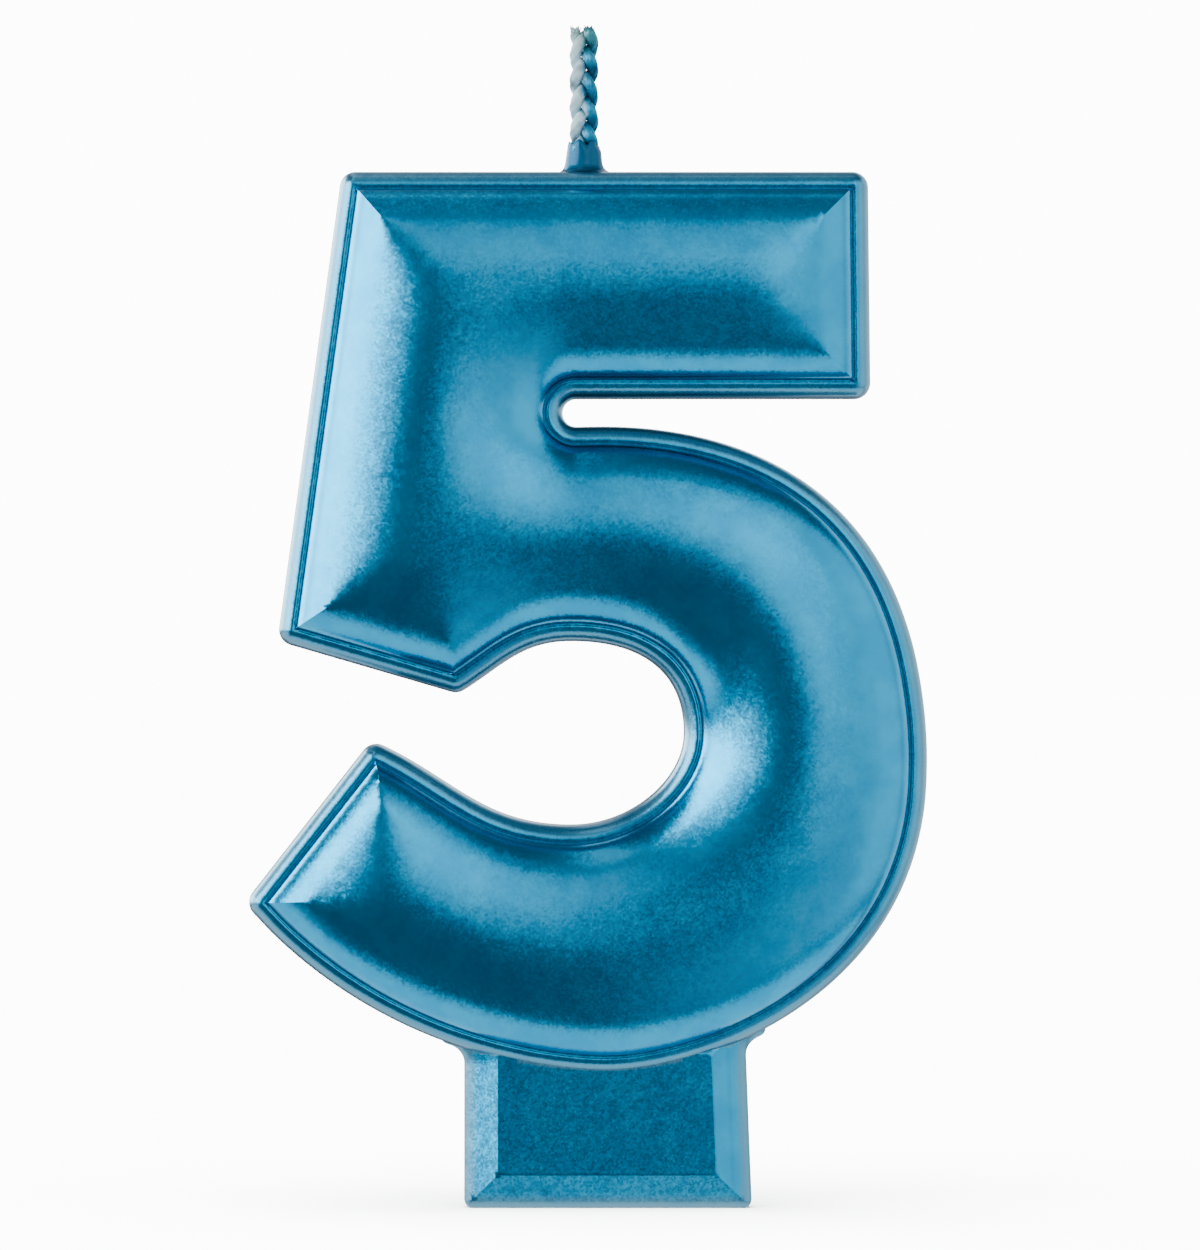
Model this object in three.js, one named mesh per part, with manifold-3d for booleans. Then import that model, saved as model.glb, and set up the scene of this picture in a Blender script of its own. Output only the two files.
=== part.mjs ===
// Number birthday candle: a numeral 5 in lacquered wax, cast as a front and a back half.
// The halves are welded on the parting plane, round a plaited cotton wick.
// A stem below the numeral pushes into the cake.
// Millimetres. +Z is up and the front faces -Y. The origin is at the stem's foot, on the parting plane.
import * as THREE from "three";
import { mergeVertices } from "three/addons/utils/BufferGeometryUtils.js";
import Module from "manifold-3d";

// ---- Driving dimensions ----

// Numeral and stem, seen from the front.
const stemLeft = -11.35;
const stemRight = 11.6; // at its foot
const stemLean = 0.5; // the stem's right side leans in by this much up to its shoulder
const stemHeight = 10.7; // foot to the underside of the bowl
// Where the stem flares into the bowl, and how far below that its side turns outwards.
const shoulderLeft = { x: -13.2, z: 13.2, drop: 0.65 };
const shoulderRight = { x: 12.7, z: 13.9, drop: 0.85 };
const stemFillet = 1.5;
const numeralHeight = 71.8; // underside of the bowl to the top of the bar
const bowlWidth = 19.4; // of the bowl's stroke, at its right
const bowlDepth = 19.8; // and at its underside
const bowlRight = 25.55; // centre of the stem to the bowl's right side
const bowlMiddle = 24.4; // height of the bowl's widest place over its underside
const counterTall = 14.6; // the open space inside the bowl
const counterMiddle = -2.8; // its highest and lowest places, across from the stem's centre
const barDepth = 18.1;
const barLeft = -21.1;
const barRight = 20.85;
const barSplay = 0.2; // the bar's lower right corner stands out by this much
const notchWidth = 2.2; // the slot between the bar and the bowl
const notchEnd = -3.5; // its closed end
const uprightFoot = { x: -26.25, rise: 0 }; // the upright's lower left corner, over the counter's top
const uprightLip = { x: -11.85, drop: 4.2 }; // its lower right corner, under the counter's top
const tailTop = { x: -18.75, rise: 6.75 }; // corners of the tail's cut end, from the counter's bottom
const tailTip = { x: -28.9, drop: 6.25 };
const cornerRadius = 1.3;
const stemRadius = 0.7;

// Relief of each half, measured from the parting plane.
const edgeHalf = 1.7; // upright wall round the numeral's outline
const rimHalf = 2.9; // flat rim between the edge and the cushion
const rimBevel = 0.9; // rounding between the edge and the rim
const rimWidth = 1.8; // outline to the cushion's foot
const crownHalf = 6.4; // highest place of the cushion
const crownShare = 0.92; // the crown is this far in, of the narrowest stroke's half width
const stemEdgeHalf = 1.3;
const stemHalf = 2.5; // flat face of the stem
const stemLip = 1.1; // rounding round the stem's edge
const stemBevel = 2.6; // outline to the stem's flat face

// Wick: three strands plaited flat, from its blind bore in the bar to its cut tip.
const wickX = -1.8;
const wickShown = 11.3; // over the bar
const wickBuried = 13.5; // into the bar
const strandRadius = 0.38;
const plaitSway = 1.8 * strandRadius; // a strand swings this far to each side of the wick's centre
const plaitLap = 1.7 * strandRadius; // and this far to the front and back
const plaitPitch = 16 * strandRadius; // length of one whole swing
const boreClearance = 0.15;
const boreBottomGap = 0.5;

// Wax seal round the wick where it leaves the bar.
const sealHeight = 2.6;
const sealFoot = 0.65; // wall of the seal at its foot
const sealLip = 0.15; // and at its top
const sealSeat = 0.1; // clearance to the bar

// How finely curves are cut.
const curveSteps = 14;
const cornerSteps = 4;
const bevelSteps = 2;
const cushionSteps = 4;
const strandSides = 8;
const strandStep = 0.5;

// ---- Heights that follow from them ----

const barTop = stemHeight + numeralHeight;
const barBottom = barTop - barDepth;
const notchBottom = barBottom - notchWidth;
const counterBottom = stemHeight + bowlDepth;
const counterTop = counterBottom + counterTall;
const counterRight = bowlRight - bowlWidth;
const counterWaist = counterBottom + counterTall / 2;
const narrowestStroke = Math.min(barDepth, bowlWidth, notchBottom - counterTop);
const crownInset = (crownShare * narrowestStroke) / 2;
const boreRadius = plaitSway + strandRadius + boreClearance;

// ---- Solids ----

const wasm = await Module();
wasm.setup();

function solidOf(geometry) {
  const bare = new THREE.BufferGeometry();
  bare.setAttribute("position", geometry.getAttribute("position"));
  bare.setIndex(geometry.index);
  const merged = mergeVertices(bare, 1e-4);
  return new wasm.Manifold(
    new wasm.Mesh({
      numProp: 3,
      vertProperties: new Float32Array(merged.getAttribute("position").array),
      triVerts: new Uint32Array(merged.index.array),
    }),
  );
}

function geometryOf(solid) {
  const mesh = solid.getMesh();
  const geometry = new THREE.BufferGeometry();
  geometry.setAttribute("position", new THREE.BufferAttribute(mesh.vertProperties, 3));
  geometry.setIndex(new THREE.BufferAttribute(mesh.triVerts, 1));
  geometry.computeVertexNormals();
  return geometry;
}

// ---- The numeral's outline ----

// Adds a curve that leaves along one heading and arrives along another.
// Headings are in degrees from +X to +Z.
function sweepTo(path, from, leave, pullOut, to, arrive, pullIn) {
  const a = THREE.MathUtils.degToRad(leave);
  const b = THREE.MathUtils.degToRad(arrive);
  path.bezierCurveTo(
    from.x + pullOut * Math.cos(a),
    from.z + pullOut * Math.sin(a),
    to.x - pullIn * Math.cos(b),
    to.z - pullIn * Math.sin(b),
    to.x,
    to.z,
  );
}

// Rounds the corners of a polygon that runs anticlockwise: outer ones by radius, inner ones by fillet.
function roundCorners(points, radius, fillet) {
  const sharp = THREE.MathUtils.degToRad(30);
  const count = points.length;
  const rounded = [];
  points.forEach((corner, i) => {
    const inward = corner.clone().sub(points[(i + count - 1) % count]).normalize();
    const outward = points[(i + 1) % count].clone().sub(corner).normalize();
    const turn = Math.atan2(inward.cross(outward), inward.dot(outward));
    const bend = turn > 0 ? radius : -fillet;
    if (Math.abs(turn) < sharp || !bend) {
      rounded.push(corner);
      return;
    }
    const start = corner.clone().addScaledVector(inward, -bend * Math.tan(turn / 2));
    const centre = new THREE.Vector2(-inward.y, inward.x).multiplyScalar(bend).add(start);
    for (let k = 0; k <= cornerSteps; k += 1) {
      rounded.push(start.clone().rotateAround(centre, (turn * k) / cornerSteps));
    }
  });
  return rounded;
}

function numeralOutline() {
  const upright = { x: uprightFoot.x, z: counterTop + uprightFoot.rise };
  const lip = { x: uprightLip.x, z: counterTop - uprightLip.drop };
  const counterHigh = { x: counterMiddle, z: counterTop };
  const counterSide = { x: counterRight, z: counterWaist };
  const counterLow = { x: counterMiddle, z: counterBottom };
  const tailHigh = { x: tailTop.x, z: counterBottom + tailTop.rise };
  const tailLow = { x: tailTip.x, z: counterBottom - tailTip.drop };
  const bowlLow = { x: 0, z: stemHeight };
  const bowlSide = { x: bowlRight, z: stemHeight + bowlMiddle };
  const bowlHigh = { x: notchEnd + notchWidth / 2, z: notchBottom };

  const path = new THREE.Path();
  path.moveTo(barLeft, barTop);
  path.lineTo(upright.x, upright.z);
  path.lineTo(lip.x, lip.z);
  sweepTo(path, lip, 31, 4.1, counterHigh, 0, 4.1);
  sweepTo(path, counterHigh, 0, 5, counterSide, -90, 5.3);
  sweepTo(path, counterSide, -90, 3.7, counterLow, 180, 4.7);
  sweepTo(path, counterLow, 180, 7.3, tailHigh, 156.5, 7.2);
  path.lineTo(tailLow.x, tailLow.z);
  sweepTo(path, tailLow, -49, 16.6, bowlLow, 0, 3.5);
  sweepTo(path, bowlLow, 0, 7.9, bowlSide, 90, 18);
  sweepTo(path, bowlSide, 90, 29.2, bowlHigh, 180, 3);
  path.absarc(bowlHigh.x, notchBottom + notchWidth / 2, notchWidth / 2, -Math.PI / 2, Math.PI / 2, true);
  path.lineTo(barRight + barSplay, barBottom);
  path.lineTo(barRight, barTop);
  path.closePath();

  // The last point repeats the first.
  const points = path.getPoints(curveSteps).slice(0, -1);
  const apart = points.filter((p, i) => p.distanceTo(points[(i + 1) % points.length]) > 1e-3);
  return roundCorners(apart, cornerRadius, 0);
}

function stemOutline() {
  const hidden = stemHeight + rimWidth + stemBevel; // the stem runs on up inside the numeral
  const corners = [
    new THREE.Vector2(stemLeft, 0),
    new THREE.Vector2(stemRight, 0),
    new THREE.Vector2(stemRight - stemLean, shoulderRight.z - shoulderRight.drop),
    new THREE.Vector2(shoulderRight.x, shoulderRight.z),
    new THREE.Vector2(shoulderRight.x, hidden),
    new THREE.Vector2(shoulderLeft.x, hidden),
    new THREE.Vector2(shoulderLeft.x, shoulderLeft.z),
    new THREE.Vector2(stemLeft, shoulderLeft.z - shoulderLeft.drop),
  ];
  return roundCorners(corners, stemRadius, stemFillet);
}

// ---- Relief: a stack of rings, each the outline moved inwards and lifted off the parting plane ----

function distanceToOutline(point, outline) {
  const at = new THREE.Vector3(point.x, point.y, 0);
  const nearest = new THREE.Vector3();
  const edge = new THREE.Line3();
  const distances = outline.map((start, i) => {
    const end = outline[(i + 1) % outline.length];
    edge.start.set(start.x, start.y, 0);
    edge.end.set(end.x, end.y, 0);
    return edge.closestPointToPoint(at, true, nearest).distanceTo(at);
  });
  return Math.min(...distances);
}

// Moves every side of the outline inwards, drops the sides that vanish, and joins the rest.
function insetOutline(outline, inset) {
  const sides = outline.map((start, i) => {
    const along = outline[(i + 1) % outline.length].clone().sub(start);
    const inwards = new THREE.Vector2(-along.y, along.x).setLength(inset);
    return { start: start.clone().add(inwards), along };
  });
  const kept = sides.filter(({ start, along }) =>
    Array.from({ length: 9 }, (_, k) => start.clone().addScaledVector(along, (k + 0.5) / 9)).some(
      (place) => distanceToOutline(place, outline) > inset - 1e-6,
    ),
  );
  return kept.map(({ start, along }, i) => {
    const next = kept[(i + 1) % kept.length];
    const share = next.start.clone().sub(start).cross(next.along) / along.cross(next.along);
    return start.clone().addScaledVector(along, share);
  });
}

function capFaces(ring) {
  return THREE.ShapeUtils.triangulateShape(ring, []).map(([a, b, c]) =>
    THREE.ShapeUtils.area([ring[a], ring[b], ring[c]]) < 0 ? [a, c, b] : [a, b, c],
  );
}

// Triangles between two rings, each across the shorter diagonal.
function bandFaces(outer, inner) {
  const gaps = outer.map((p) => p.distanceTo(inner[0]));
  const first = gaps.indexOf(Math.min(...gaps));
  const faces = [];
  let i = 0;
  let j = 0;
  while (i < outer.length || j < inner.length) {
    const here = (first + i) % outer.length;
    const ahead = (here + 1) % outer.length;
    const there = j % inner.length;
    const beyond = (there + 1) % inner.length;
    const shorter = outer[ahead].distanceTo(inner[there]) < inner[beyond].distanceTo(outer[here]);
    if (j === inner.length || (i < outer.length && shorter)) {
      faces.push([here, ahead, outer.length + there]);
      i += 1;
    } else {
      faces.push([here, outer.length + beyond, outer.length + there]);
      j += 1;
    }
  }
  return faces;
}

// Each step holds how far in the ring lies, and its height over the parting plane towards the front.
function reliefSolid(outline, steps) {
  const positions = [];
  const index = [];
  let start = 0;
  let below = null;
  steps.forEach(({ inset, height }) => {
    const ring = inset > 0 ? insetOutline(outline, inset) : outline;
    ring.forEach((p) => positions.push(p.x, -height, p.y));
    if (below) {
      const first = start;
      bandFaces(below, ring).forEach((face) => index.push(...face.map((k) => k + first)));
      start += below.length;
    } else {
      capFaces(ring).forEach(([a, b, c]) => index.push(a, c, b));
    }
    below = ring;
  });
  capFaces(below).forEach((face) => index.push(...face.map((k) => k + start)));
  const geometry = new THREE.BufferGeometry();
  geometry.setAttribute("position", new THREE.Float32BufferAttribute(positions, 3));
  geometry.setIndex(index);
  return solidOf(geometry);
}

// Steps of a quarter ellipse that starts upright at one place and ends level at another.
function quarterSteps(from, to, count) {
  return Array.from({ length: count }, (_, k) => {
    const angle = ((k + 1) / count) * (Math.PI / 2);
    return {
      inset: from.inset + (to.inset - from.inset) * (1 - Math.cos(angle)),
      height: from.height + (to.height - from.height) * Math.sin(angle),
    };
  });
}

// ---- The two wax halves ----

function numeralHalf() {
  const foot = { inset: 0, height: 0 };
  const edge = { inset: 0, height: edgeHalf };
  const rimStart = { inset: rimBevel, height: rimHalf };
  const rimEnd = { inset: rimWidth, height: rimHalf };
  const crown = { inset: crownInset, height: crownHalf };
  return reliefSolid(numeralOutline(), [
    foot,
    edge,
    ...quarterSteps(edge, rimStart, bevelSteps),
    rimEnd,
    ...quarterSteps(rimEnd, crown, cushionSteps),
  ]);
}

function stemHalfSolid() {
  const foot = { inset: 0, height: 0 };
  const edge = { inset: 0, height: stemEdgeHalf };
  const lip = { inset: stemLip, height: (stemEdgeHalf + stemHalf) / 2 };
  const face = { inset: stemBevel, height: stemHalf };
  return reliefSolid(stemOutline(), [foot, edge, lip, face]);
}

function wickBore() {
  const depth = wickBuried + boreBottomGap;
  const bore = new THREE.CylinderGeometry(boreRadius, boreRadius, depth + 1, 24);
  bore.rotateX(Math.PI / 2);
  bore.translate(wickX, 0, barTop - depth + (depth + 1) / 2);
  return solidOf(bore);
}

function waxHalf() {
  return numeralHalf().add(stemHalfSolid()).subtract(wickBore());
}

// ---- The wick ----

class StrandCurve extends THREE.Curve {
  constructor(phase) {
    super();
    this.phase = phase;
  }

  getPoint(t, target = new THREE.Vector3()) {
    const z = barTop - wickBuried + t * (wickBuried + wickShown);
    const swing = (2 * Math.PI * z) / plaitPitch + this.phase;
    return target.set(wickX + plaitSway * Math.sin(swing), plaitLap * Math.sin(2 * swing), z);
  }
}

function strandGeometry(phase) {
  const section = new THREE.Shape(
    Array.from({ length: strandSides }, (_, i) => {
      const angle = (2 * Math.PI * i) / strandSides;
      return new THREE.Vector2(strandRadius * Math.cos(angle), strandRadius * Math.sin(angle));
    }),
  );
  return new THREE.ExtrudeGeometry(section, {
    steps: Math.round((wickBuried + wickShown) / strandStep),
    bevelEnabled: false,
    extrudePath: new StrandCurve(phase),
  });
}

function sealGeometry() {
  const bore = boreRadius;
  const profile = [
    new THREE.Vector2(bore, 0),
    new THREE.Vector2(bore + sealFoot, 0),
    new THREE.Vector2(bore + sealFoot * 0.55, sealHeight * 0.3),
    new THREE.Vector2(bore + sealLip, sealHeight),
    new THREE.Vector2(bore, sealHeight),
    new THREE.Vector2(bore, 0),
  ];
  return new THREE.LatheGeometry(profile, 24).rotateX(Math.PI / 2);
}

// ---- The assembly ----

const lacqueredWax = new THREE.MeshStandardMaterial({ color: 0x1f7fa6, metalness: 0.9, roughness: 0.3 });
const waxedCotton = new THREE.MeshStandardMaterial({ color: 0x7fb3c4, metalness: 0.1, roughness: 0.7 });

function named(name, geometry, material) {
  const mesh = new THREE.Mesh(geometry, material);
  mesh.name = name;
  return mesh;
}

const candle = new THREE.Group();

const half = geometryOf(waxHalf());
const back = named("wax_back", half, lacqueredWax);
back.scale.y = -1; // the back half is the front half's mirror image
candle.add(named("wax_front", half, lacqueredWax), back);

for (let i = 0; i < 3; i += 1) {
  candle.add(named(`wick_strand_${i + 1}`, strandGeometry((2 * Math.PI * i) / 3), waxedCotton));
}

const seal = named("wick_seal", sealGeometry(), lacqueredWax);
seal.position.set(wickX, 0, barTop + sealSeat);
candle.add(seal);

export default candle;
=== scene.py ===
import math

import bmesh
import bpy
import numpy as np
from mathutils import Matrix, Vector, noise
from mathutils.geometry import delaunay_2d_cdt


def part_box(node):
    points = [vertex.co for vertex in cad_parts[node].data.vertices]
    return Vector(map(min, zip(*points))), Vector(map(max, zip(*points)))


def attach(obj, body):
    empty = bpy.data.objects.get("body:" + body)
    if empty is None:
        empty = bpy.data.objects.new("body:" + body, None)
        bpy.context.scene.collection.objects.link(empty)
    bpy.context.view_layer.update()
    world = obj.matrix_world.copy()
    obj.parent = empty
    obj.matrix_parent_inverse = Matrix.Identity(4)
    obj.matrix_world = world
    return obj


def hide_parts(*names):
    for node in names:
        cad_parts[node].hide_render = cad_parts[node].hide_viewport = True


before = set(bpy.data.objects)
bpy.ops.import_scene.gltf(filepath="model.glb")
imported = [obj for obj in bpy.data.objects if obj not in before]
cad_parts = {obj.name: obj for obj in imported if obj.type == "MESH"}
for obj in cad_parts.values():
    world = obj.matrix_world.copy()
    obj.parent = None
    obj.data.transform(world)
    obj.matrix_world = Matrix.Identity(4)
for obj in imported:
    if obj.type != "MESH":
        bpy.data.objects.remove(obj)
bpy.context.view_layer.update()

# ---- The two wax halves ----
# The numeral and its stem are cast in wax as a front and a back half, welded on the parting plane.
# Round the outline run an upright edge, a narrow rim and a groove, and inside them the face swells
# like a cushion. The whole casting is coated with a clear blue lacquer full of aluminium flakes.

MM = 0.001  # lengths are in mm up to the moment when a mesh is made
rim_height = 2.9  # over the parting plane
rim_start = 0.9  # from the outline to the frame's flat rim
weld_distance = 0.003  # corners of the frame's mesh that are closer than this are one
level_tolerance = 0.01


def unit(vectors):
    return vectors / np.linalg.norm(vectors, axis=-1, keepdims=True)


def twice_area(loop):
    ahead = np.roll(loop, -1, axis=0)
    return (loop[:, 0] * ahead[:, 1] - loop[:, 1] * ahead[:, 0]).sum()


def rim_outline(node):
    """The numeral's outline (x, z), anticlockwise: the outer edge of the frame's flat rim, moved out."""
    rim = bmesh.new()
    rim.from_mesh(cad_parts[node].data)
    bmesh.ops.remove_doubles(rim, verts=rim.verts, dist=weld_distance * MM)
    near = level_tolerance * MM
    level = {face for face in rim.faces if all(abs(v.co.y + rim_height * MM) < near for v in face.verts)}
    beside = {}
    for edge in rim.edges:
        if sum(face in level for face in edge.link_faces) == 1:
            here, there = edge.verts
            beside.setdefault(here, []).append(there)
            beside.setdefault(there, []).append(here)
    loops = []
    while beside:
        loop = [next(iter(beside))]
        onward = beside.pop(loop[0])[0]
        while onward in beside:
            loop.append(onward)
            first, second = beside.pop(onward)
            onward = second if first == loop[-2] else first
        loops.append(np.array([(v.co.x, v.co.z) for v in loop]) / MM)
    rim.free()
    loop = max(loops, key=lambda points: abs(twice_area(points)))
    if twice_area(loop) < 0:
        loop = loop[::-1]
    ahead = unit(np.roll(loop, -1, axis=0) - loop)
    outward = np.stack([ahead[:, 1], -ahead[:, 0]], axis=1)
    before = np.roll(outward, 1, axis=0)
    mitre = (before + outward) / (1 + (before * outward).sum(axis=1))[:, None]
    return loop + rim_start * mitre


# A side of the outline is straight if it is this long, or this many times as long as the next one.
# The others are chords of a curve.
straight_side = 6.0
straight_ratio = 3
sample_step = 0.45
sample_turn = math.radians(7)


def smooth_outline(corners):
    """Points along an outline and the inward normals there, its curves rounded through their chords."""
    side = np.roll(corners, -1, axis=0) - corners
    length = np.linalg.norm(side, axis=1)[:, None]
    ahead = side / length
    tangent = unit(np.roll(ahead, 1, axis=0) * length + ahead * np.roll(length, 1))
    for i in np.flatnonzero(length > straight_ratio * np.roll(length, 1)):
        tangent[i] = ahead[i]
    for i in np.flatnonzero(length > straight_ratio * np.roll(length, -1)):
        tangent[(i + 1) % len(corners)] = ahead[i]
    for i in np.flatnonzero(length > straight_side):
        tangent[i] = tangent[(i + 1) % len(corners)] = ahead[i]
    points, normals = [], []
    for i, start in enumerate(corners):
        following = (i + 1) % len(corners)
        end = corners[following]
        turn = math.acos(min(1, float(tangent[i] @ tangent[following])))
        count = math.ceil(max(float(length[i, 0]) / sample_step, turn / sample_turn))
        leave = tangent[i] * 2 * length[i] / (1 + tangent[i] @ ahead[i])
        arrive = tangent[following] * 2 * length[i] / (1 + tangent[following] @ ahead[i])
        t = (np.arange(count) / count)[:, None]
        points.append(start + (3 * t**2 - 2 * t**3) * (end - start) + (t**3 - 2 * t**2 + t) * leave
                      + (t**3 - t**2) * arrive)
        heading = unit(6 * (t - t**2) * (end - start) + (3 * t**2 - 4 * t + 1) * leave
                       + (3 * t**2 - 2 * t) * arrive)
        normals.append(np.stack([-heading[:, 1], heading[:, 0]], axis=1))
    return np.concatenate(points), np.concatenate(normals)


points_at_once = 1500


def distance_to(outline, points):
    along = np.roll(outline, -1, axis=0) - outline
    nearest = []
    for some in np.array_split(points, len(points) // points_at_once + 1):
        offset = some[:, None] - outline[None]
        share = np.clip((offset * along).sum(axis=2) / (along**2).sum(axis=1), 0, 1)
        nearest.append(np.linalg.norm(offset - share[..., None] * along, axis=2).min(axis=1))
    return np.concatenate(nearest)


def inside(outline, points):
    crossings = np.zeros(len(points), int)
    for (x0, z0), (x1, z1) in zip(outline, np.roll(outline, -1, axis=0)):
        if z0 != z1:
            spans = (points[:, 1] > z0) != (points[:, 1] > z1)
            crossings += spans & (points[:, 0] < x0 + (points[:, 1] - z0) * (x1 - x0) / (z1 - z0))
    return crossings % 2 == 1


mitre_step = 0.25
mitre_reach = 9  # past the middle of the widest stroke
corner_shrink = 0.3  # sides that shrink below this share when moved in by the radius lie in a corner


def mitre_lines(points, normals, radius):
    """Where the slopes on both sides of each rounded corner meet, from the corner's centre inwards."""
    insets = np.arange(radius, mitre_reach, mitre_step)
    centres = points + radius * normals
    moved = np.linalg.norm(np.roll(centres, -1, axis=0) - centres, axis=1)
    rounded = moved < corner_shrink * np.linalg.norm(np.roll(points, -1, axis=0) - points, axis=1)
    lines = []
    for first in np.flatnonzero(rounded & ~np.roll(rounded, 1)):
        last = (first + int(np.argmin(np.roll(rounded, -first)))) % len(points)
        mitre = (normals[first] + normals[last]) / (1 + normals[first] @ normals[last])
        line = (centres[first] + centres[last]) / 2 + np.outer(insets - radius, mitre)
        clear = distance_to(points, line)
        good = inside(points, line) & (clear > insets - mitre_step)
        end = len(line) if good.all() else int(np.argmin(good))
        lines.append(line[:end])
    return [line for line in lines if len(line) > 1]


def lattice(low, high, step):
    rows = []
    for k, z in enumerate(np.arange(low[1], high[1], step * math.sqrt(3) / 2)):
        x = np.arange(low[0] + (k % 2) * step / 2, high[0], step)
        rows.append(np.column_stack([x, np.full(len(x), z)]))
    return np.concatenate(rows)


def apart_from(lines, points, gap):
    kept = np.ones(len(points), bool)
    for line in lines:
        kept &= np.linalg.norm(points[:, None] - line[None], axis=2).min(axis=1) > gap
    return kept


corner_radius = 1.3
ring_slack = 0.02  # a ring's point is dropped where another side of the outline is this much nearer
mitre_clear = 0.13  # from a ring's points to the mitre lines
lattice_start = 0.6  # from the last ring, in lattice steps
lattice_clear = 0.5  # from the mitre lines, in lattice steps
softening_width = 2.5
softening_passes = 24
triangles_inside = 1  # asks delaunay_2d_cdt for only the triangles inside the outline
same_point = 1e-6
merge_distance = 0.01


def add_object(name, data):
    made = bpy.data.objects.new(name, data)
    bpy.context.scene.collection.objects.link(made)
    return made


def relief_half(name, outline, radius, wall, rings, height, lattice_step, soften_from):
    """One closed half. wall holds steps (inset, height) up from the parting plane, height gives the
    face's height for an inset, and ridges are softened from the inset soften_from inwards."""
    points, normals = outline
    steps = len(points)
    loop = [(i, (i + 1) % steps) for i in range(steps)]
    layers = [points + inset * normals for inset, _ in wall]
    verts = [np.column_stack([layer[:, 0], np.full(steps, -level), layer[:, 1]])
             for layer, (_, level) in zip(layers, wall)]
    depths = [np.full(steps, inset) for inset, _ in wall]
    faces = []
    for below in range(0, (len(wall) - 1) * steps, steps):
        faces += [(below + i, below + j, below + steps + j, below + steps + i) for i, j in loop]
    flat_side = delaunay_2d_cdt([Vector(p) for p in layers[0]], loop, [], triangles_inside, same_point)[2]
    faces += [face[::-1] for face in flat_side]

    # The face: rings beside the outline, lines down the mitres, and an even lattice over the rest.
    lines = mitre_lines(points, normals, radius)
    sheet = [layers[-1]]
    for inset in rings:
        ring = points + inset * normals
        unfolded = distance_to(points, ring) > inset - ring_slack
        sheet.append(ring[unfolded & apart_from(lines, ring, mitre_clear)])
    grid = lattice(points.min(axis=0), points.max(axis=0), lattice_step)
    grid = grid[inside(points, grid)]
    grid = grid[distance_to(points, grid) > rings[-1] + lattice_start * lattice_step]
    sheet.append(grid[apart_from(lines, grid, lattice_clear * lattice_step)])
    edges = list(loop)
    count = sum(len(part) for part in sheet)
    for line in lines:
        edges += [(count + i, count + i + 1) for i in range(len(line) - 1)]
        count += len(line)
    flat, links, triangles, origin = delaunay_2d_cdt(
        [Vector(p) for p in np.concatenate(sheet + lines)], edges, [], triangles_inside, merge_distance)[:4]
    flat = np.array([tuple(p) for p in flat])
    origin = np.array([ids[0] if ids else steps for ids in origin])
    fresh = origin >= steps
    depth = distance_to(points, flat)
    level = height(depth)

    # The ridge along the middle of each stroke is evened out, and the rim and mitres stay crisp.
    links = np.array(links)
    around = np.maximum(np.bincount(links.ravel(), minlength=len(flat)), 1)
    softness = np.clip((depth - soften_from) / softening_width, 0, 1) * fresh
    for _ in range(softening_passes):
        total = np.bincount(links[:, 0], level[links[:, 1]], len(flat))
        total += np.bincount(links[:, 1], level[links[:, 0]], len(flat))
        level += softness * (total / around - level)

    first_fresh = len(wall) * steps
    place = np.where(fresh, first_fresh + np.cumsum(fresh) - 1, first_fresh - steps + origin)
    faces += [tuple(int(place[k]) for k in triangle) for triangle in triangles]
    verts.append(np.column_stack([flat[:, 0], -level, flat[:, 1]])[fresh])
    depths.append(depth[fresh])

    mesh = bpy.data.meshes.new(name)
    mesh.from_pydata(np.concatenate(verts) * MM, [], faces)
    mesh.attributes.new("inset", "FLOAT", "POINT").data.foreach_set(
        "value", np.concatenate(depths).astype(np.float32))
    return add_object(name, mesh)


def combine(body, other, operation):
    """Joins another closed solid to body, or cuts it out of body, and uses it up."""
    step = body.modifiers.new("combine", "BOOLEAN")
    step.operation = operation
    step.solver = "MANIFOLD"
    step.object = other
    shape = body.evaluated_get(bpy.context.evaluated_depsgraph_get())
    mesh = bpy.data.meshes.new_from_object(shape)
    body.modifiers.clear()
    body.data = mesh
    bpy.data.objects.remove(other)


# Numeral: the relief from the outline inwards.
weld_line = [(0.1, 0.0), (0.02, 0.09), (0.0, 0.2)]  # a small notch, as steps (inset, height)
edge_height = 1.55  # upright edge, from the parting plane
edge_draft = 0.05
rim_inset = 1.2  # outline to the highest line of the rim
groove_inset = 1.4
groove_depth = 0.06
groove_width = 0.16
cushion_foot = 1.45
cushion_run = 8.25  # outline to crown, less the foot
crown_height = 6.15
swell = 0.05  # and the widest places rise on by this slope
swell_start = 5.0
numeral_lattice = 0.42
numeral_softening = 4.0

numeral_wall = weld_line + [(0.015, 0.8), (edge_draft, edge_height)]
for angle in np.radians([10, 20, 30, 40, 50, 60]):
    numeral_wall.append((edge_draft + (rim_inset - edge_draft) * (1 - math.cos(angle)),
                         edge_height + (rim_height - edge_height) * math.sin(angle)))


def numeral_height(inset):
    edge = np.clip((rim_inset - inset) / (rim_inset - edge_draft), 0, 1)
    shoulder = (rim_height - edge_height) * (1 - np.sqrt(1 - edge**2))
    groove = groove_depth * np.exp(-(((inset - groove_inset) / groove_width) ** 2))
    rise = np.clip((inset - cushion_foot) / cushion_run, 0, 1)
    cushion = (crown_height - rim_height) * np.sqrt(1 - (1 - rise) ** 2)
    widest = swell * np.maximum(inset - swell_start, 0)
    return rim_height - shoulder - groove * (inset > rim_inset) + cushion + widest


# Rings of the mesh, by inset. They lie closer together where the groove turns into the cushion.
numeral_rings = np.concatenate([
    np.arange(0.72, 1.46, 0.08),
    cushion_foot + np.array([0.03, 0.08, 0.16, 0.28, 0.44, 0.64, 0.88, 1.14, 1.42, 1.72]),
])

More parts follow.
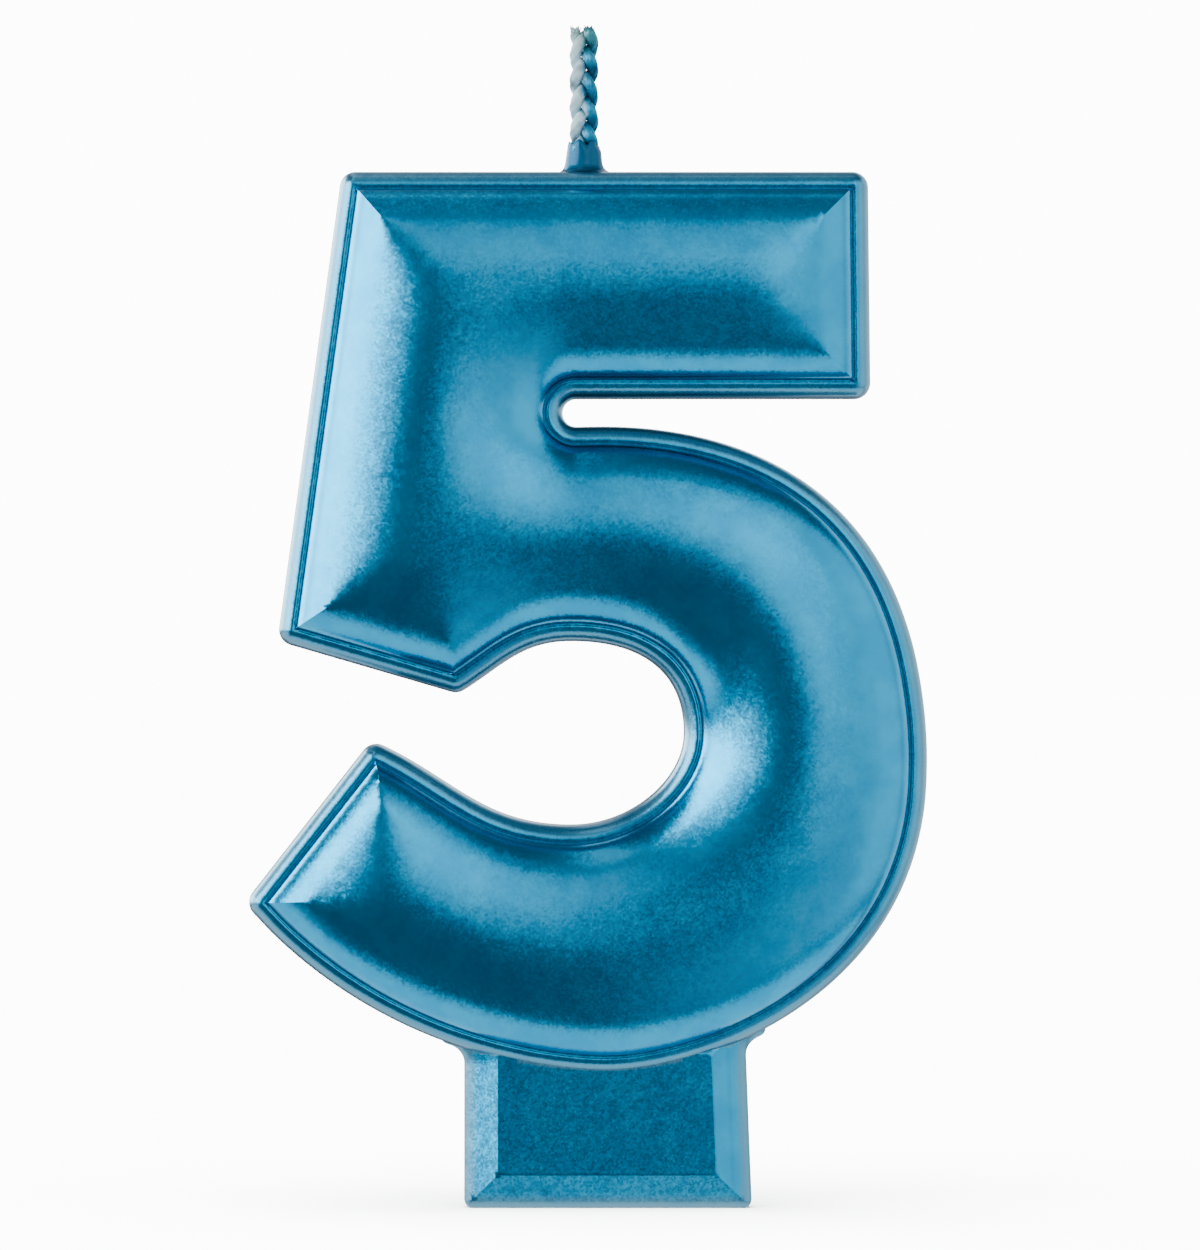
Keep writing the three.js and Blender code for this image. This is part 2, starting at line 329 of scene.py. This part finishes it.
# Stem: a flat tongue with bevelled sides, which widens into the bowl and runs on up inside the numeral.
stem_left = -11.35
stem_right = 11.6
stem_lean = 0.5
shoulder_left = (-13.2, 13.2, -0.65)  # x and z of its tip, and how far it slopes down to the side
shoulder_right = (12.7, 13.9, -0.85)
stem_hidden_top = 15.1
stem_fillet = 1.5
stem_corner = 0.7
stem_edge_height = 1.25
stem_lip = 0.4  # rounding of its edge
stem_lip_rise = 0.15
stem_bevel = 2.75
stem_face = 2.5
stem_lattice = 1.2
stem_softening = 99.0  # deeper than the stem goes, so its bevels stay crisp


def rounded_outline(corners, radius, fillet, step):
    """Points and inward normals round a polygon, with its outer corners rounded by radius and its
    inner ones by fillet."""
    corners = np.array(corners)
    ahead = unit(np.roll(corners, -1, axis=0) - corners)
    behind = np.roll(ahead, 1, axis=0)
    across = behind[:, 0] * ahead[:, 1] - behind[:, 1] * ahead[:, 0]
    turn = np.arctan2(across, (behind * ahead).sum(axis=1))
    bend = np.where(turn > 0, radius, -fillet)
    cut = bend * np.tan(turn / 2)
    points, normals = [], []
    for i, corner in enumerate(corners):
        inward = np.array([-behind[i, 1], behind[i, 0]])
        start = corner - behind[i] * cut[i]
        centre = start + inward * bend[i]
        for angle in turn[i] * np.linspace(0, 1, math.ceil(abs(turn[i]) / sample_turn) + 1):
            turned = np.array([[math.cos(angle), -math.sin(angle)], [math.sin(angle), math.cos(angle)]])
            points.append(centre + turned @ (start - centre))
            normals.append(turned @ inward)
        following = (i + 1) % len(corners)
        straight = np.linalg.norm(corners[following] - corner) - cut[i] - cut[following]
        for along in np.linspace(0, straight, max(2, math.ceil(straight / step)))[1:-1]:
            points.append(corner + ahead[i] * (cut[i] + along))
            normals.append(np.array([-ahead[i, 1], ahead[i, 0]]))
    return np.array(points), np.array(normals)


stem_corners = [
    (stem_left, 0),
    (stem_right, 0),
    (stem_right - stem_lean, shoulder_right[1] + shoulder_right[2]),
    shoulder_right[:2],
    (shoulder_right[0], stem_hidden_top),
    (shoulder_left[0], stem_hidden_top),
    shoulder_left[:2],
    (stem_left, shoulder_left[1] + shoulder_left[2]),
]
stem_wall = weld_line + [(0.03, stem_edge_height)]


def stem_height(inset):
    lip = stem_lip_rise * np.sin(np.clip(inset / stem_lip, 0, 1) * math.pi / 2)
    slope = np.clip(inset / stem_bevel, 0, 1)
    return stem_edge_height + lip + (stem_face - stem_edge_height - stem_lip_rise) * slope


stem_rings = np.array([0.1, 0.22, 0.38, 0.56, 0.8, 1.0, 1.1, 1.2, 1.45, 1.75, 2.1, 2.45, 2.65, 2.75,
                       2.85, 3.1])

numeral_outline = smooth_outline(rim_outline("wax_front"))
front = relief_half("front_half", numeral_outline, corner_radius, numeral_wall, numeral_rings,
                    numeral_height, numeral_lattice, numeral_softening)
stem_outline = rounded_outline(stem_corners, stem_corner, stem_fillet, sample_step)
stem = relief_half("stem", stem_outline, stem_corner, stem_wall, stem_rings,
                   stem_height, stem_lattice, stem_softening)


class Socket:
    """A shader socket. Arithmetic on it adds Math nodes, and node() adds a node of any type to its tree."""

    def __init__(self, tree, source=None):
        self.tree = tree
        self.source = source

    def node(self, kind, settings=None, values=None, output=0):
        made = self.tree.nodes.new(kind)
        for name, value in (settings or {}).items():
            setattr(made, name, value)
        for name, value in (values or {}).items():
            if isinstance(value, Socket):
                self.tree.links.new(value.source, made.inputs[name])
            else:
                made.inputs[name].default_value = value
        return Socket(self.tree, made.outputs[output] if len(made.outputs) else None)

    def math(self, operation, *values):
        return self.node("ShaderNodeMath", {"operation": operation}, dict(enumerate(values)))

    def vector(self, operation, *values):
        sockets = dict(enumerate(values))
        if operation == "SCALE":
            sockets = {0: values[0], "Scale": values[1]}
        return self.node("ShaderNodeVectorMath", {"operation": operation}, sockets)

    def axis(self, name):
        return self.node("ShaderNodeSeparateXYZ", values={0: self}, output=name)

    def mottle(self, scale, detail):
        """Soft noise at this place."""
        return self.node("ShaderNodeTexNoise", values={"Vector": self, "Scale": scale, "Detail": detail})

    def cells(self, scale):
        """A grain of cells at this place, each with a random colour."""
        return self.node("ShaderNodeTexVoronoi", values={"Vector": self, "Scale": scale}, output="Color")

    def ramp(self, low, high):
        """0 up to low, 1 from high on, and an even curve between."""
        return self.node("ShaderNodeMapRange", {"interpolation_type": "SMOOTHSTEP"},
                         {"Value": self, "From Min": low, "From Max": high})

    def mix(self, first, second):
        """The colour first where this is 0, and second where it is 1."""
        return self.node("ShaderNodeMix", {"data_type": "RGBA"}, {0: self, 6: first, 7: second}, 2)

    def __add__(self, other):
        return self.math("ADD", self, other)

    def __radd__(self, other):
        return self.math("ADD", other, self)

    def __sub__(self, other):
        return self.math("SUBTRACT", self, other)

    def __rsub__(self, other):
        return self.math("SUBTRACT", other, self)

    def __mul__(self, other):
        return self.math("MULTIPLY", self, other)

    def __rmul__(self, other):
        return self.math("MULTIPLY", other, self)

    def __truediv__(self, other):
        return self.math("DIVIDE", self, other)


def blank_material(name):
    """A material without nodes, a socket to add them from, and the place on the object in mm."""
    material = bpy.data.materials.new(name)
    material.use_nodes = True
    material.node_tree.nodes.clear()
    start = Socket(material.node_tree)
    metres = start.node("ShaderNodeTexCoord", output="Object")
    return material, start, start.vector("SCALE", metres, 1 / MM)


flakes_per_mm = 6.0
clumps_per_mm = 2.6
flake_tilt = 0.05
clump_tilt = 0.025
peel_depth = 0.004
run_depth = 0.014
film_deep = (0.016, 0.265, 0.47, 1)
film_bright = (0.024, 0.305, 0.51, 1)
# Painted highlight: a paler grey for the outer rim, standing in for the light band that the rim reflects.
rim_highlight_colour = (0.15, 0.28, 0.35, 1)
# Dark colour of lacquer dried thick, also used as painted shade in the groove.
pooled_film_and_groove_shade = (0.004, 0.09, 0.18, 1)
rim_highlight_tint = 0.7  # how far the colour goes to the painted rim highlight, and in the next two to the dark colour of painted groove shade and of thick lacquer
groove_shade_tint = 0.12
pool_tint = 0.9
film_roughness = 0.2
pool_dulling = 0.32


def lacquer(name, pool):
    """The coat of lacquer. pool is 0 where it runs off, and 1 where it gathers and dries thick."""
    material, start, place = blank_material(name)
    inset = start.node("ShaderNodeAttribute", {"attribute_name": "inset"}, output="Fac")

    # Flakes: each cell of the film lies at its own slight angle and has its own brightness.
    fine = place.cells(flakes_per_mm)
    coarse = place.cells(clumps_per_mm)
    middle = (0.5, 0.5, 0.5)
    fine_tilt = start.vector("SCALE", start.vector("SUBTRACT", fine, middle), flake_tilt)
    coarse_tilt = start.vector("SCALE", start.vector("SUBTRACT", coarse, middle), clump_tilt)
    tilt = start.vector("ADD", fine_tilt, coarse_tilt)

    # The film itself lies a little unevenly, as a sprayed or dipped coat does.
    height = place.mottle(0.8, 2.0) * peel_depth + place.mottle(0.22, 1.0) * run_depth
    film = start.node("ShaderNodeBump", values={
        "Strength": 1.0, "Distance": MM, "Height": height}, output="Normal")
    normal = start.vector("NORMALIZE", start.vector("ADD", film, tilt))

    # Painted highlight: the outer rim is made paler, greyer, less metallic and rougher, for the light band
    # it reflects. Painted shade darkens the groove.
    patch = place.mottle(0.35, 3.0)
    rim_highlight = (1 - inset.ramp(0.25, 1.25)) * (0.75 + 0.5 * patch)
    # Painted shade: a dark band along the groove, where it lies in shade.
    groove_shade = inset.ramp(1.2, 1.4) * (1 - inset.ramp(1.45, 1.8))
    body = patch.ramp(0.35, 0.65).mix(film_deep, film_bright)
    coat = (rim_highlight * rim_highlight_tint).mix(body, rim_highlight_colour)
    colour = (groove_shade_tint * groove_shade + pool_tint * pool).mix(coat, pooled_film_and_groove_shade)
    glint = start.node("ShaderNodeSeparateColor", values={"Color": fine}, output="Red")
    roughness = film_roughness + pool_dulling * pool + 0.06 * glint + 0.08 * rim_highlight

    shader = start.node("ShaderNodeBsdfPrincipled", values={
        "Base Color": colour, "Metallic": 1.0 - 0.15 * rim_highlight, "Roughness": roughness, "Normal": normal,
        "Coat Weight": 0.5, "Coat Roughness": 0.12, "Coat IOR": 1.5})
    start.node("ShaderNodeOutputMaterial", values={"Surface": shader})
    return material


# The wick's blind hole, down from the top of the bar.
wick_x = -1.8
bar_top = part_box("wax_front")[1].z / MM
bore_radius = 1.22
bore_depth = 14.0
bore_over = 1  # its cutter stands this far out of the bar
bore_sides = 48
sharp_angle = math.radians(30)


def bored(half):
    hole = bpy.data.meshes.new("bore")
    shape = bmesh.new()
    middle = Vector((wick_x, 0, bar_top + bore_over / 2 - bore_depth / 2))
    bmesh.ops.create_cone(shape, cap_ends=True, segments=bore_sides, depth=(bore_depth + bore_over) * MM,
                          radius1=bore_radius * MM, radius2=bore_radius * MM,
                          matrix=Matrix.Translation(middle * MM))
    shape.to_mesh(hole)
    shape.free()
    combine(half, add_object("bore", hole), "DIFFERENCE")


lacquer_film = lacquer("metallic_lacquer", 0)
combine(front, stem, "UNION")
bored(front)
back_mesh = front.data.copy()
back_mesh.transform(Matrix.Scale(-1, 4, (0, 1, 0)))
back_mesh.flip_normals()
back = add_object("back_half", back_mesh)
for half, node in ((front, "wax_front"), (back, "wax_back")):
    half.data.materials.clear()
    half.data.materials.append(lacquer_film)
    half.data.shade_smooth()
    half.data.set_sharp_from_angle(angle=sharp_angle)
    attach(half, "root")
    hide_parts(node)

# ---- The wick ----
# Three strands of cotton yarn are plaited flat, waxed stiff and cast into the bar. Each strand is a
# twist of plies. The wick is sprayed along with the candle, so its right side and its foot are blue
# and its left side is pale.

wick_shown = 11.3
wick_buried = 13.5
strand_radius = 0.38
plait_sway = 1.8 * strand_radius
plait_lap = 1.7 * strand_radius
plait_pitch = 16 * strand_radius
plies = 5
ply_groove = 0.13  # between the plies, as a share of the strand's radius
ply_lay = 5.75  # length of one turn of the plies
strand_wide = 1.28  # each strand is pressed flat where the others cross it
strand_flat = 0.88
strand_lump = 0.05
strand_sides = 30
strand_rings = 330
tip_taper = 0.3  # length over which the cut end draws in, to the share tip_share of its radius
tip_share = 0.82
fibres = 26  # loose ones at the cut tip of each strand
fibre_root = 0.15
fibre_radii = [0.045, 0.042, 0.038, 0.03, 0.012]  # from root to tip
fibre_sides = 5
wick_seed = 31
crease_angle = math.radians(60)


def strand_centre(phase, z):
    swing = 2 * math.pi * z / plait_pitch + phase
    return Vector((wick_x + plait_sway * math.sin(swing), plait_lap * math.sin(2 * swing), z))


def bridge(shape, rings):
    for low, high in zip(rings, rings[1:]):
        for i in range(len(low)):
            j = (i + 1) % len(low)
            shape.faces.new((low[i], low[j], high[j], high[i]))


def add_tube(shape, centres, radii, sides, lobe=0.0, twist=0.0):
    """A closed tube along centres. lobe grooves it between the plies, which turn by twist per mm."""
    rings = []
    side = Vector((1, 0, 0))
    travelled = 0
    for k, centre in enumerate(centres):
        before = centres[max(k - 1, 0)]
        after = centres[min(k + 1, len(centres) - 1)]
        ahead = (after - before).normalized()
        side = (side - ahead * side.dot(ahead)).normalized()
        over = ahead.cross(side)
        if k:
            travelled += (centre - centres[k - 1]).length
        ring = []
        for i in range(sides):
            angle = 2 * math.pi * i / sides
            bulge = 1 - lobe + lobe * abs(math.cos(plies * (angle - twist * travelled) / 2))
            reach = radii[k] * bulge
            offset = side * strand_wide * math.cos(angle) + over * strand_flat * math.sin(angle)
            ring.append(shape.verts.new((centre + offset * reach) * MM))
        rings.append(ring)
    bridge(shape, rings)
    shape.faces.new(reversed(rings[0]))
    shape.faces.new(rings[-1])


def yarn_strand(index):
    phase = 2 * math.pi * index / 3
    chance = np.random.default_rng(wick_seed + index)
    heights = np.linspace(bar_top - wick_buried, bar_top + wick_shown, strand_rings)
    centres = [strand_centre(phase, z) for z in heights]
    radii = []
    for k, centre in enumerate(centres):
        lump = strand_lump * noise.noise(centre * 1.1 + Vector((7 * index, 0, 0)))
        left = min(1, (bar_top + wick_shown - heights[k]) / tip_taper)
        radii.append(strand_radius * (1 + lump) * (tip_share + (1 - tip_share) * left))
    shape = bmesh.new()
    add_tube(shape, centres, radii, strand_sides, lobe=ply_groove, twist=2 * math.pi / ply_lay)
    tip = centres[-1]
    for _ in range(fibres):
        angle = chance.uniform(0, 2 * math.pi)
        out = strand_radius * math.sqrt(chance.uniform(0, 0.8))
        root = tip + Vector((out * math.cos(angle), out * math.sin(angle), -fibre_root))
        lean = Vector((math.cos(angle), math.sin(angle), 0)) * chance.uniform(0.05, 0.5)
        length = chance.uniform(0.25, 0.6)
        shares = np.linspace(0, 1, len(fibre_radii))
        line = [root + (Vector((0, 0, 1)) + lean * t) * length * t for t in shares]
        add_tube(shape, line, fibre_radii, fibre_sides)
    mesh = bpy.data.meshes.new("wick_yarn")
    shape.to_mesh(mesh)
    shape.free()
    mesh.shade_smooth()
    mesh.set_sharp_from_angle(angle=crease_angle)
    return mesh


cotton_pale = (0.52, 0.70, 0.74, 1)
cotton_tip = (0.42, 0.58, 0.56, 1)
paint_blue = (0.03, 0.26, 0.42, 1)
paint_tip = (0.07, 0.25, 0.29, 1)
paint_dark = (0.006, 0.05, 0.11, 1)
patch_height = 7.6  # of a dark patch in the paint, over the bar
fibres_per_mm = (9.0, 9.0, 2.0)


def waxed_cotton():
    material, start, place = blank_material("waxed_cotton")
    across = place.axis("X") - wick_x
    up = place.axis("Z") - bar_top
    blotch = place.mottle(0.9, 3.0)
    sprayed = (across + 1.6 * (blotch - 0.5)).ramp(-0.55, 0.25)
    foot = 1 - up.ramp(1.6, 3.6)
    blue = sprayed.math("MAXIMUM", sprayed, foot)
    tip = up.ramp(8.6, 11.0)
    from_patch = up.math("ABSOLUTE", up - patch_height)
    patch = (1 - from_patch.ramp(0.4, 1.3)) * place.mottle(0.55, 1.0).ramp(0.35, 0.6)
    cotton = tip.mix(cotton_pale, cotton_tip)
    paint = tip.mix(paint_blue, paint_tip)
    colour = (patch * 0.85).mix(blue.mix(cotton, paint), paint_dark)
    fibre = start.vector("MULTIPLY", place, fibres_per_mm).mottle(1.0, 3.0)
    normal = start.node("ShaderNodeBump", values={
        "Strength": 0.7, "Distance": 0.06 * MM, "Height": fibre}, output="Normal")
    shader = start.node("ShaderNodeBsdfPrincipled", values={
        "Base Color": colour, "Metallic": 0.65 * blue, "Roughness": 0.62 - 0.22 * blue + 0.1 * fibre,
        "Normal": normal, "Sheen Weight": 0.15})
    start.node("ShaderNodeOutputMaterial", values={"Surface": shader})
    return material


cotton = waxed_cotton()
for index in range(3):
    mesh = yarn_strand(index)
    mesh.materials.append(cotton)
    strand = add_object(f"wick_yarn_{index + 1}", mesh)
    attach(strand, "root")
    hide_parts(f"wick_strand_{index + 1}")

# ---- The wax seal ----
# A drop of wax drawn up round the wick where it leaves the bar. It wets the bar, so its foot runs
# out flat, and it is coated with the same lacquer, which gathers there.

seal_flat = 0.86  # of its width, front to back
# Steps (reach from the wick's middle, height over the bar) up the outside and down round the wick.
seal_profile = [
    (1.2, -0.06), (2.2, -0.06), (1.98, 0.04), (1.78, 0.16), (1.62, 0.36), (1.52, 0.65), (1.46, 1.0),
    (1.41, 1.35), (1.36, 1.7), (1.31, 2.0), (1.25, 2.2), (1.2, 2.3), (1.14, 2.3), (1.1, 2.2), (1.1, 1.2),
]
seal_sides = 72
seal_lump = 0.1
seal_lump_start = 1.25  # the reach beyond which it is uneven
seal_edge_start = 1.9  # the height over which its edge runs up and down
seal_edge_sway = 0.5
bead_inset = 2.5  # its lacquer gets neither the painted rim highlight nor the painted groove shade


def wax_seal():
    shape = bmesh.new()
    rings = []
    for reach, rise in seal_profile:
        ring = []
        for i in range(seal_sides):
            angle = 2 * math.pi * i / seal_sides
            around = Vector((math.cos(angle), math.sin(angle), 0))
            outward = 1
            if reach > seal_lump_start:
                lump = noise.noise(around * 0.8 + Vector((0, 0, rise * 0.8))) * seal_lump
                outward = 1 + lump * min(1, (reach - 1.2) * 1.5)
            edge = rise
            if rise > seal_edge_start:
                edge = rise + seal_edge_sway * noise.noise(around * 1.7)
            point = Vector((around.x * reach * outward, around.y * reach * outward * seal_flat, edge))
            ring.append(shape.verts.new((point + Vector((wick_x, 0, bar_top))) * MM))
        rings.append(ring)
    bridge(shape, rings + rings[:1])
    bmesh.ops.recalc_face_normals(shape, faces=shape.faces)
    mesh = bpy.data.meshes.new("wax_bead")
    shape.to_mesh(mesh)
    shape.free()
    mesh.shade_smooth()
    mesh.set_sharp_from_angle(angle=crease_angle)
    insets = mesh.attributes.new("inset", "FLOAT", "POINT")
    insets.data.foreach_set("value", [bead_inset] * len(mesh.vertices))
    return mesh


bead = add_object("wax_bead", wax_seal())
bead.data.materials.append(lacquer("pooled_lacquer", 1))
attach(bead, "root")
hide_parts("wick_seal")

# ---- The floor ----
# A plain white table top.

paper_white = 6.5  # radiance of the floor and the air behind it
floor_grey = 0.8
floor_reach = 4  # in metres
floor_corners = [(x * floor_reach, y * floor_reach, 0) for x, y in ((-1, -1), (1, -1), (1, 1), (-1, 1))]
floor_mesh = bpy.data.meshes.new("floor")
floor_mesh.from_pydata(floor_corners, [], [(0, 1, 2, 3)])
floor = add_object("floor", floor_mesh)
table = bpy.data.materials.new("table_top")
table.use_nodes = True
table_shader = table.node_tree.nodes["Principled BSDF"]
table_shader.inputs["Base Color"].default_value = (floor_grey, floor_grey, floor_grey, 1)
table_shader.inputs["Roughness"].default_value = 1.0
table_shader.inputs["Specular IOR Level"].default_value = 0.0
floor_mesh.materials.append(table)
floor.visible_glossy = False
floor.visible_diffuse = False

# ---- The studio light ----
# A wide softbox stands on the left, with a lower one under it, and a broad weak fill on the right.
# Small panels stand above, below and straight ahead, and the rest is dark, bluish cloth.
# The same set stands behind the candle, so the light is the same seen from the back.

softbox_light = 5.0
low_left_light = 1.3
fill_light = 1.1
under_light = 1.2
column_light = 0.8
panel_light = 0.7
overhead_light = 0.8
ahead_light = 0.8
cloth_light = 0.24
cloth_tint = (0.8, 0.93, 1.1, 1)
lamp_white = (1, 1, 1, 1)


def studio():
    world = bpy.data.worlds.new("studio")
    world.use_nodes = True
    tree = world.node_tree
    tree.nodes.clear()
    start = Socket(tree)
    direction = start.node("ShaderNodeTexCoord", output="Generated")
    x, y, z = (direction.axis(name) for name in "XYZ")
    facing = y.math("MINIMUM", y.math("ABSOLUTE", y), 1 - 1e-5)
    away = facing.math("ARCCOSINE", facing) * math.degrees(1)
    reach = x.math("SQRT", x * x + z * z + 1e-9)
    right = away * x / reach  # degrees to the right of straight ahead, and above it
    high = away * z / reach
    far = 1 - 0.55 * away.ramp(75, 100)
    softbox = (0 - right - 29.5 - 0.12 * high).ramp(-12, 9)
    softbox = softbox * high.ramp(-9, 5) * (1 - high.ramp(36, 48)) * far
    low_left = (0 - right).ramp(34, 54) * high.ramp(-58, -36) * (1 - high.ramp(-22, -8))
    fill = 0.55 * right.ramp(-4, 22) + 0.45 * right.ramp(18, 50)
    fill = fill * high.ramp(-52, -28) * (1 - high.ramp(44, 60)) * far
    under = (0 - high).ramp(41, 54)
    column = right.ramp(-28, -20) * (1 - right.ramp(-8, 0)) * high.ramp(40, 52)
    panel = right.ramp(-20, -8) * (1 - right.ramp(22, 36)) * high.ramp(12, 26) * (1 - high.ramp(35, 46))
    overhead = high.ramp(78, 100)
    off_centre = (right - 13) * (right - 13) + (high - 12) * (high - 12)
    ahead = 1 - off_centre.math("SQRT", off_centre).ramp(5, 24)
    glow = cloth_light + softbox_light * softbox + low_left_light * low_left + fill_light * fill
    glow = glow + under_light * under + column_light * column + panel_light * panel
    glow = glow + overhead_light * overhead + ahead_light * ahead
    seen = start.node("ShaderNodeLightPath", output="Is Camera Ray")
    strength = glow + seen * (paper_white - glow)
    tint = strength.ramp(0.2, 1.3).mix(cloth_tint, lamp_white)
    background = start.node("ShaderNodeBackground", values={"Color": tint, "Strength": strength})
    start.node("ShaderNodeOutputWorld", values={"Surface": background})
    return world


bpy.context.scene.world = studio()

# The floor has a lamp of its own, so that it is as white as the air and takes a soft shadow.
studio_on_floor = 1.0  # radiance that the studio itself gives the floor
lamp = bpy.data.lights.new("floor_lamp", "SUN")
lamp.energy = (paper_white - studio_on_floor) * math.pi / floor_grey
lamp.angle = math.radians(70)
floor_lamp = add_object("floor_lamp", lamp)
floor_lamp.rotation_euler = (math.radians(8), math.radians(-6), 0)
lit = bpy.data.collections.new("lit_by_floor_lamp")
lit.objects.link(floor)
floor_lamp.light_linking.receiver_collection = lit

# ---- The camera ----
# It looks level and straight at the front, from far enough away to keep the sides out of sight.

camera_distance = 0.6
view_height = 99.7 * MM  # what the picture takes in at the parting plane
view_centre = Vector((-0.52, 0, 46.4)) * MM
lens = bpy.data.cameras.new("camera")
lens.sensor_width = 36
lens.lens = lens.sensor_width * camera_distance / view_height
lens.clip_start = 0.01
camera = add_object("camera", lens)
camera.location = view_centre - Vector((0, camera_distance, 0))
camera.rotation_euler = (math.radians(90), 0, 0)
bpy.context.scene.camera = camera

bpy.context.scene.view_settings.view_transform = "AgX"
bpy.context.scene.view_settings.look = "AgX - Medium High Contrast"
